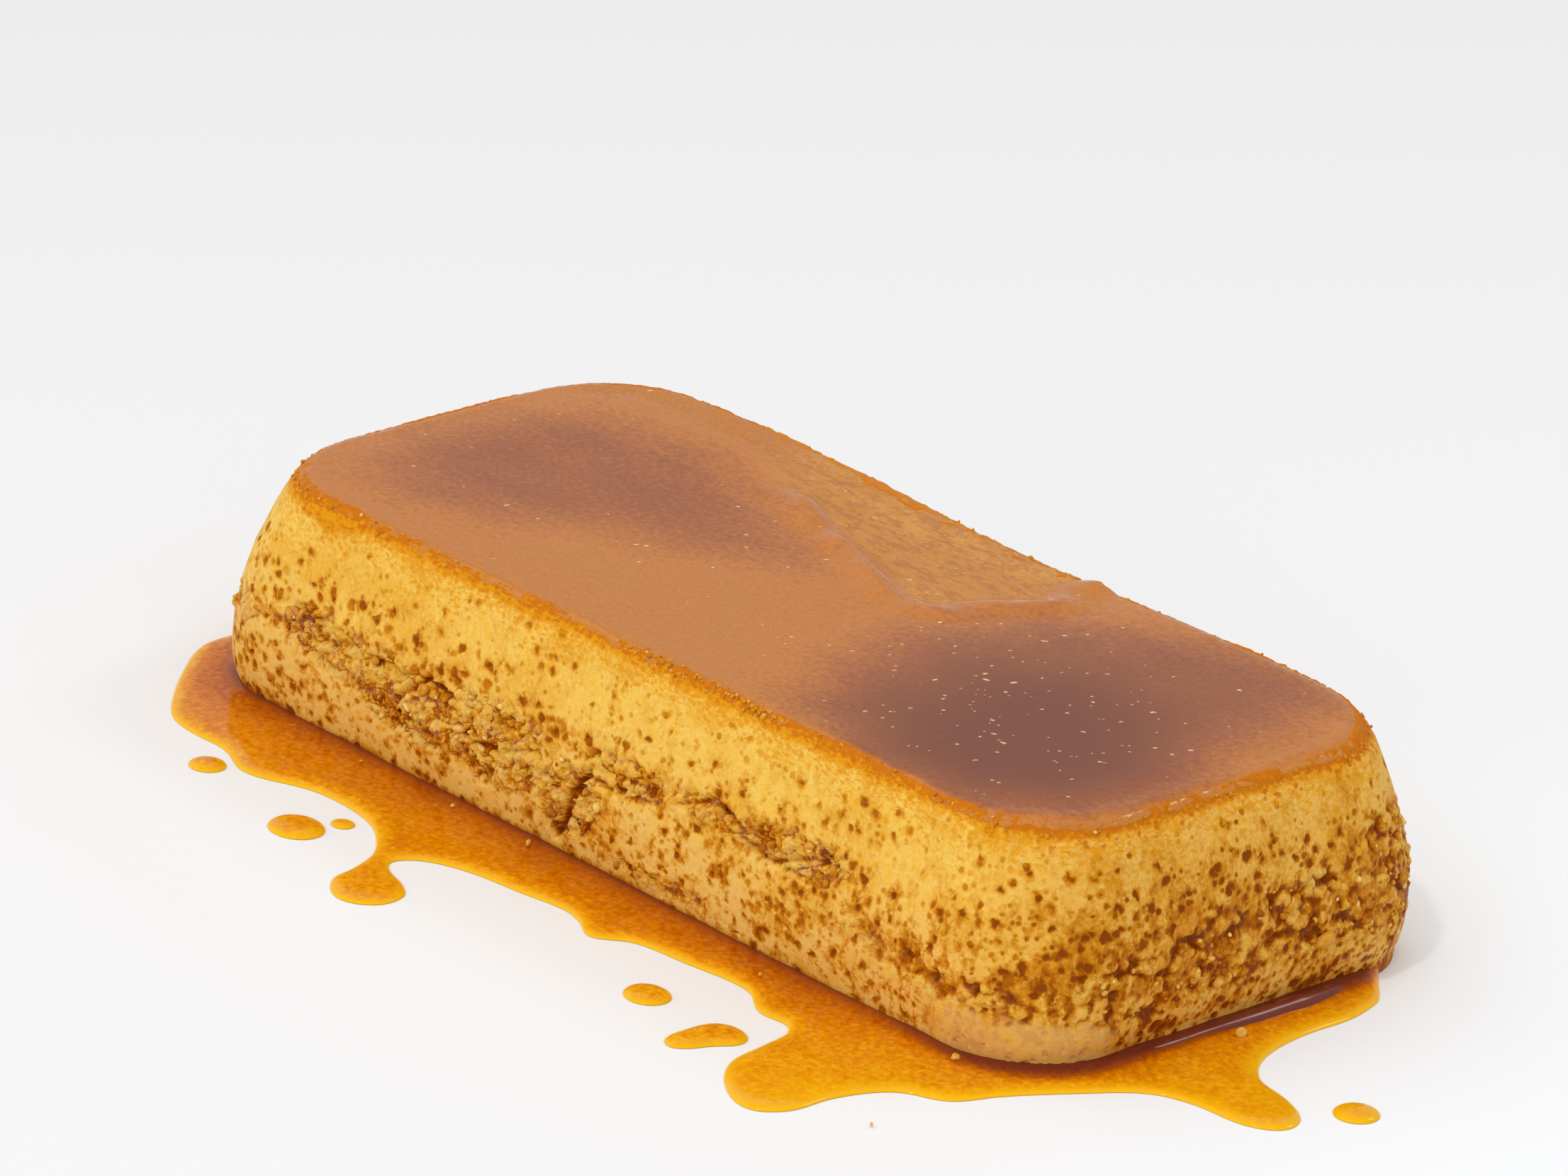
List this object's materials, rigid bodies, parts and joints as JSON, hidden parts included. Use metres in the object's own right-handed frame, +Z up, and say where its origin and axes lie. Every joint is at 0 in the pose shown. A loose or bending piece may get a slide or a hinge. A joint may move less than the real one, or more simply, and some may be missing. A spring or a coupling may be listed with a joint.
{
  "type": "caramel pudding",
  "caption": "Loaf-shaped baked custard turned out upside down, glossy with caramel on top, porous and torn at the sides, lying in a thin spill of caramel with loose drops.",
  "frame": {"origin": "middle of the custard's flat foot, where it stands", "axes": "+X along the loaf towards its right end in the picture, -Y towards the long side that shows, +Z up"},
  "size_m": [0.243, 0.1399, 0.0392],
  "materials": {
    "custard": "baked egg custard, yellow, smooth and moist with brown pores, brown where it caught",
    "caramel": "runny amber caramel, wet gloss"
  },
  "bodies": {
    "root": {"custard": "custard", "caramel_puddle": "caramel", "caramel_drop_1": "caramel", "caramel_drop_2": "caramel", "caramel_drop_3": "caramel", "caramel_drop_4": "caramel", "caramel_drop_5": "caramel", "caramel_drop_6": "caramel"}
  },
  "joints": []
}
